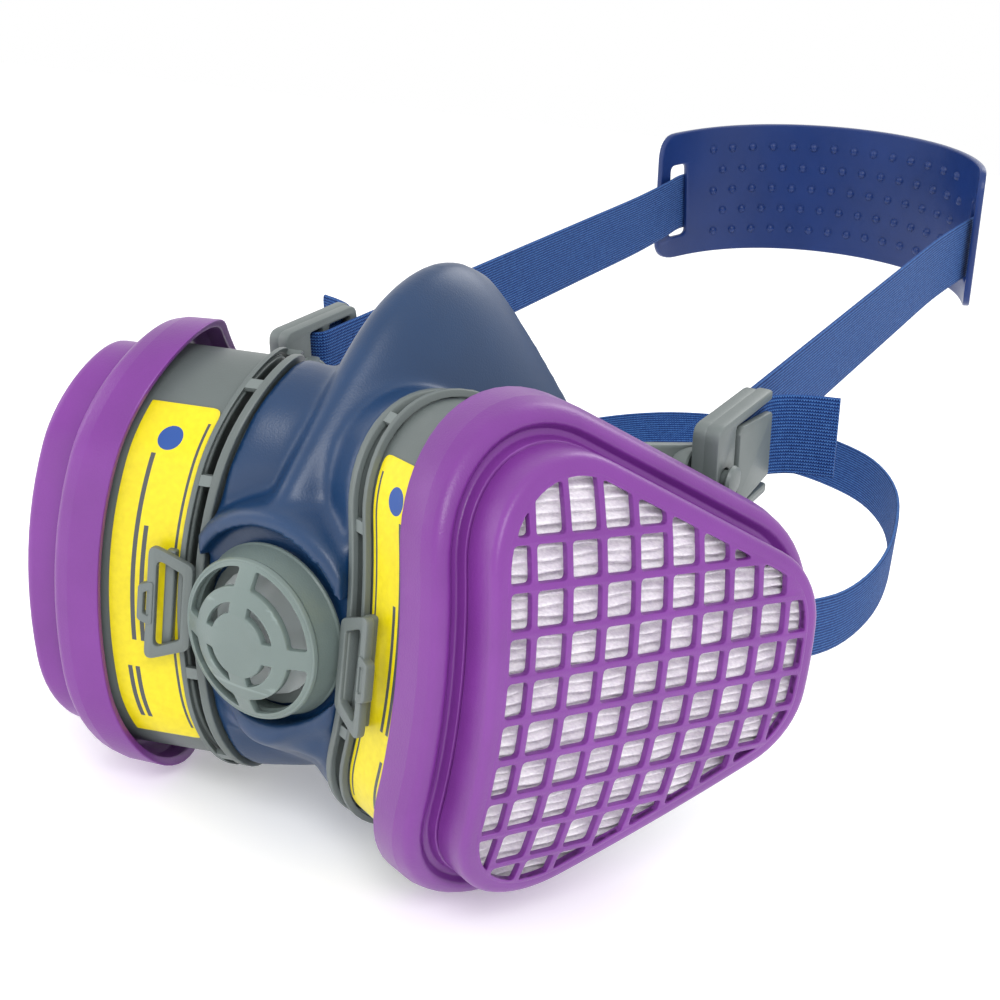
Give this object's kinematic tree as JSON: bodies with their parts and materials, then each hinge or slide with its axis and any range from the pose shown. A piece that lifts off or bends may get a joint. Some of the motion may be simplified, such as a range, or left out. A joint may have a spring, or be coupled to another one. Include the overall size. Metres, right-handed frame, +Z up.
{
  "type": "half-mask respirator",
  "caption": "Half-mask respirator with clip-on filter cartridges, a front exhalation valve and an adjustable head and neck harness.",
  "frame": {"origin": "middle of the face seal, level with the bridge between nose and mouth", "axes": "+Z up, -Y the way the wearer faces, +X the wearer's left"},
  "size_m": [0.1856, 0.3261, 0.1622],
  "materials": {
    "facepiece_silicone": "satin, dusty blue",
    "grey_plastic": "fine satin",
    "valve_plastic": "fine satin",
    "cartridge_purple": "semi-gloss",
    "label_paper": "satin, yellow",
    "filter_fleece": "soft, pleated",
    "carbon": "granular",
    "valve_membrane": "translucent",
    "gasket_rubber": "matte",
    "webbing": "ribbed weave",
    "cradle_plastic": "satin"
  },
  "bodies": {
    "facepiece": {"facepiece": "facepiece_silicone", "exhalation_seat": "grey_plastic", "port_frame_left": "grey_plastic", "port_frame_right": "grey_plastic", "port_gasket_left": "gasket_rubber", "port_gasket_right": "gasket_rubber", "inhalation_seat_left": "grey_plastic", "inhalation_seat_right": "grey_plastic"},
    "exhalation_flap": {"exhalation_flap": "valve_membrane"},
    "valve_cover": {"valve_cover": "valve_plastic"},
    "cartridge_left": {"canister_shell_left": "grey_plastic", "carbon_bed_left": "carbon", "dust_fleece_left": "filter_fleece", "label_left": "label_paper", "filter_frame_left": "cartridge_purple", "pleated_filter_left": "filter_fleece", "filter_cover_left": "cartridge_purple"},
    "latch_left": {"latch_clip_left": "grey_plastic"},
    "inhalation_flap_left": {"inhalation_flap_left": "valve_membrane"},
    "cartridge_right": {"canister_shell_right": "grey_plastic", "carbon_bed_right": "carbon", "dust_fleece_right": "filter_fleece", "label_right": "label_paper", "filter_frame_right": "cartridge_purple", "pleated_filter_right": "filter_fleece", "filter_cover_right": "cartridge_purple"},
    "latch_right": {"latch_clip_right": "grey_plastic"},
    "inhalation_flap_right": {"inhalation_flap_right": "valve_membrane"},
    "head_harness": {"head_cradle": "cradle_plastic", "upper_strap_left": "webbing", "upper_strap_right": "webbing", "buckle_frame_left": "grey_plastic", "buckle_frame_right": "grey_plastic"},
    "buckle_lever_left": {"buckle_lever_left": "grey_plastic"},
    "buckle_lever_right": {"buckle_lever_right": "grey_plastic"},
    "neck_harness": {"neck_strap": "webbing", "neck_buckle_left": "grey_plastic", "neck_buckle_right": "grey_plastic"}
  },
  "joints": [
    {"name": "exhalation_flap_lift", "type": "slide", "parent": "facepiece", "child": "exhalation_flap", "axis": [0, -0.9962, -0.0872], "range_m": [0, 0.0015], "stiffness_N_per_m": 20},
    {"name": "valve_cover_off", "type": "slide", "parent": "facepiece", "child": "valve_cover", "axis": [0, -0.9962, -0.0872], "range_m": [0, 0.03]},
    {"name": "cartridge_off_left", "type": "slide", "parent": "facepiece", "child": "cartridge_left", "axis": [0.9178, -0.3972, 0], "range_m": [0, 0.05]},
    {"name": "latch_release_left", "type": "hinge", "parent": "facepiece", "child": "latch_left", "pos_m": [0.02174, -0.066, -0.0143], "axis": [0, 0, -1], "range_deg": [0, 14], "stiffness_Nm_per_rad": 0.2},
    {"name": "inhalation_flap_lift_left", "type": "slide", "parent": "facepiece", "child": "inhalation_flap_left", "axis": [-0.9178, 0.3972, 0], "range_m": [0, 0.0015], "stiffness_N_per_m": 20},
    {"name": "cartridge_off_right", "type": "slide", "parent": "facepiece", "child": "cartridge_right", "axis": [-0.9178, -0.3972, 0], "range_m": [0, 0.05]},
    {"name": "latch_release_right", "type": "hinge", "parent": "facepiece", "child": "latch_right", "pos_m": [-0.02174, -0.066, -0.0143], "axis": [0, 0, 1], "range_deg": [0, 14], "stiffness_Nm_per_rad": 0.2},
    {"name": "inhalation_flap_lift_right", "type": "slide", "parent": "facepiece", "child": "inhalation_flap_right", "axis": [0.9178, 0.3972, 0], "range_m": [0, 0.0015], "stiffness_N_per_m": 20},
    {"name": "head_harness_swing", "type": "hinge", "parent": "facepiece", "child": "head_harness", "pos_m": [0, 0.008, 0.021], "axis": [1, 0, 0], "range_deg": [-8, 60]},
    {"name": "buckle_release_left", "type": "hinge", "parent": "head_harness", "child": "buckle_lever_left", "pos_m": [0.063, 0.01327, 0.02217], "axis": [0, 0.2174, -0.9761], "range_deg": [0, 35]},
    {"name": "buckle_release_right", "type": "hinge", "parent": "head_harness", "child": "buckle_lever_right", "pos_m": [-0.063, 0.01327, 0.02217], "axis": [0, -0.2174, 0.9761], "range_deg": [0, 35]},
    {"name": "neck_harness_swing", "type": "hinge", "parent": "facepiece", "child": "neck_harness", "pos_m": [0, 0.012, -0.028], "axis": [-1, 0, 0], "range_deg": [0, 35]}
  ]
}
